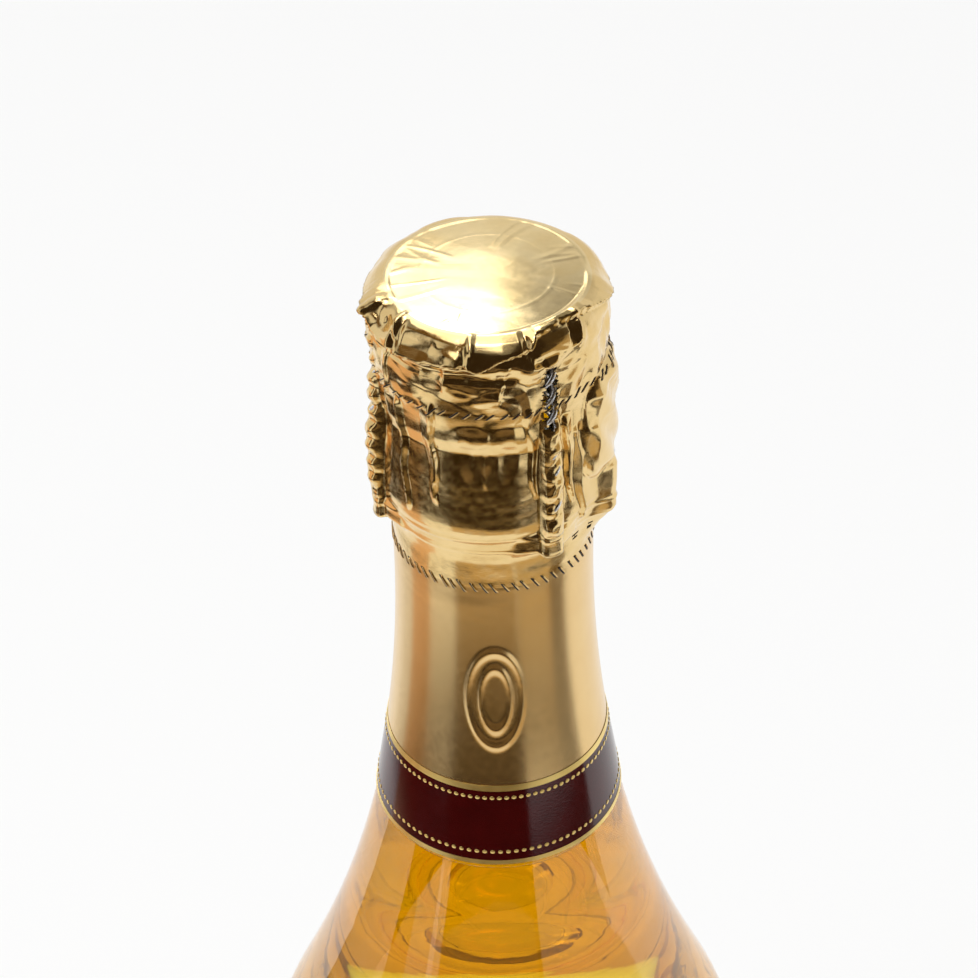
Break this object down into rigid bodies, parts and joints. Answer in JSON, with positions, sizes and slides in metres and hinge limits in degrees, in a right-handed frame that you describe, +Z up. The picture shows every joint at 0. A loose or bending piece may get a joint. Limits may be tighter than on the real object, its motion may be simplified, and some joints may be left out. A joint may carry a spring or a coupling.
{
  "type": "champagne bottle",
  "caption": "Closed sparkling wine bottle of clear glass with golden wine, mushroom cork, wire cage with folding key, gold foil, dark red collar band and paper labels.",
  "frame": {"origin": "middle of the base, on the plane that the foot stands on", "axes": "+Z up the bottle's axis, -Y to the front label, +X to the right seen from the front"},
  "size_m": [0.089, 0.0901, 0.3187],
  "materials": {
    "clear_glass": "gloss",
    "golden_wine": "polished",
    "agglomerated_cork": "matte",
    "natural_cork": "matte",
    "gold_tinplate": "satin",
    "galvanised_wire": "satin",
    "gold_foil": "gloss",
    "collar_paper": "satin",
    "label_paper": "satin"
  },
  "bodies": {
    "bottle": {"glass_bottle": "clear_glass", "wine": "golden_wine", "foil_skirt": "gold_foil", "collar_label": "collar_paper", "front_label": "label_paper", "back_label": "label_paper"},
    "cork": {"cork_body": "agglomerated_cork", "cork_disc_upper": "natural_cork", "cork_disc_lower": "natural_cork"},
    "cage": {"cap_plate": "gold_tinplate", "cage_frame_wire": "galvanised_wire", "cage_belt_wire": "galvanised_wire"},
    "key": {"cage_key": "galvanised_wire"},
    "foil": {"foil_hood": "gold_foil", "foil_tear_strip": "gold_foil"}
  },
  "joints": [
    {"name": "cork_pull", "type": "slide", "parent": "bottle", "child": "cork", "axis": [0, 0, 1], "range_m": [0, 0.04]},
    {"name": "cage_lift", "type": "slide", "parent": "cork", "child": "cage", "axis": [0, 0, 1], "range_m": [0, 0.05], "deforming": ["cage_frame_wire", "cage_belt_wire"]},
    {"name": "key_fold", "type": "hinge", "parent": "cage", "child": "key", "pos_m": [0.01707, -0.00457, 0.2807], "axis": [0.2588, 0.9659, 0], "range_deg": [0, 110], "deforming": ["foil_tear_strip"]},
    {"name": "foil_lift", "type": "slide", "parent": "cage", "child": "foil", "axis": [0, 0, 1], "range_m": [0, 0.06]}
  ]
}
